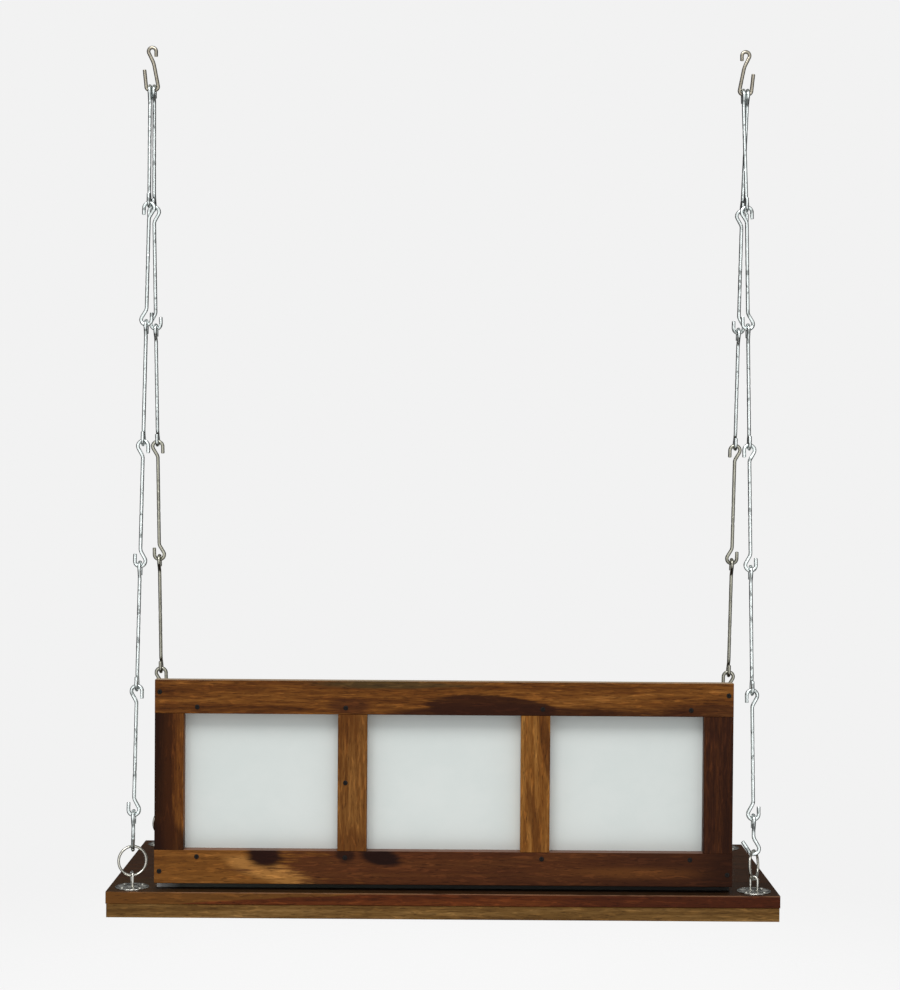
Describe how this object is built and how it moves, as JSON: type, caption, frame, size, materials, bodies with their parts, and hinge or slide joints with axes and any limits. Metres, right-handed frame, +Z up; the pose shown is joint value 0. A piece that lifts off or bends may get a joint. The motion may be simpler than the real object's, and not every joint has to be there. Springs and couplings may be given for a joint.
{
  "type": "jhoola swing",
  "caption": "Hardwood bench swing with a framed, padded backrest, hung on chains of hooked steel rods from S-hooks.",
  "frame": {"origin": "centre of the seat's underside, at the bottom of the whole part", "axes": "+X to the left of someone sitting on it and along its width, +Y the way they face, +Z up"},
  "size_m": [1.219, 0.508, 1.6176],
  "materials": {
    "seat_wood": "gloss lacquered dark hardwood",
    "frame_wood": "gloss lacquered walnut-brown hardwood",
    "white_board": "painted matt white",
    "white_cloth": "woven cotton",
    "hook_steel": "bright zinc plated",
    "bright_steel": "polished plated",
    "black_steel": "black phosphated"
  },
  "bodies": {
    "top_hooks": {"top_hook_left": "hook_steel", "top_hook_right": "hook_steel"},
    "upper_rods": {"rod_front_left_1": "hook_steel", "rod_front_right_1": "hook_steel", "rod_rear_left_1": "hook_steel", "rod_rear_right_1": "hook_steel"},
    "left_chains": {"rod_front_left_2": "hook_steel", "rod_front_left_3": "hook_steel", "rod_front_left_4": "hook_steel", "rod_front_left_5": "hook_steel", "rod_front_left_6": "hook_steel", "rod_rear_left_2": "hook_steel", "rod_rear_left_3": "hook_steel", "rod_rear_left_4": "hook_steel", "rod_rear_left_5": "hook_steel", "rod_rear_left_6": "hook_steel", "short_hook_front_left": "hook_steel", "ring_front_left": "bright_steel", "short_hook_rear_left": "hook_steel", "ring_rear_left": "bright_steel"},
    "right_chains": {"rod_front_right_2": "hook_steel", "rod_front_right_3": "hook_steel", "rod_front_right_4": "hook_steel", "rod_front_right_5": "hook_steel", "rod_front_right_6": "hook_steel", "rod_rear_right_2": "hook_steel", "rod_rear_right_3": "hook_steel", "rod_rear_right_4": "hook_steel", "rod_rear_right_5": "hook_steel", "rod_rear_right_6": "hook_steel", "short_hook_front_right": "hook_steel", "ring_front_right": "bright_steel", "short_hook_rear_right": "hook_steel", "ring_rear_right": "bright_steel"},
    "seat": {"back_board": "white_board", "back_pad": "white_cloth", "back_rail_bottom": "frame_wood", "back_rail_top": "frame_wood", "back_screws": "black_steel", "back_stile_inner_left": "frame_wood", "back_stile_inner_right": "frame_wood", "back_stile_left": "frame_wood", "back_stile_right": "frame_wood", "board_screws": "black_steel", "eye_plate_front_left": "bright_steel", "eye_plate_front_right": "bright_steel", "eye_plate_rear_left": "bright_steel", "eye_plate_rear_right": "bright_steel", "plate_screws": "bright_steel", "seat_battens": "seat_wood", "seat_plank_1": "seat_wood", "seat_plank_2": "seat_wood", "seat_plank_3": "seat_wood", "seat_plank_4": "seat_wood", "seat_rim_front": "seat_wood", "seat_rim_left": "seat_wood", "seat_rim_rear": "seat_wood", "seat_rim_right": "seat_wood"}
  },
  "joints": [
    {"name": "swing", "type": "hinge", "parent": "top_hooks", "child": "upper_rods", "pos_m": [0, 0, 1.53348], "axis": [1, 0, 0], "range_deg": [-30, 30]},
    {"name": "sway_left", "type": "hinge", "parent": "upper_rods", "child": "left_chains", "pos_m": [-0.5675, 0, 1.30726], "axis": [0, 1, 0], "range_deg": [-5, 5]},
    {"name": "sway_right", "type": "hinge", "parent": "upper_rods", "child": "right_chains", "pos_m": [0.5675, 0, 1.30726], "axis": [0, 1, 0], "range_deg": [-5, 5]},
    {"name": "seat_level", "type": "hinge", "parent": "left_chains", "child": "seat", "pos_m": [-0.5675, 0, 0.0742], "axis": [0, 1, 0], "range_deg": [-5, 5]}
  ],
  "couplings": [
    {"joint": "sway_right", "follows": "sway_left", "ratio": 1},
    {"joint": "seat_level", "follows": "sway_left", "ratio": -1}
  ]
}
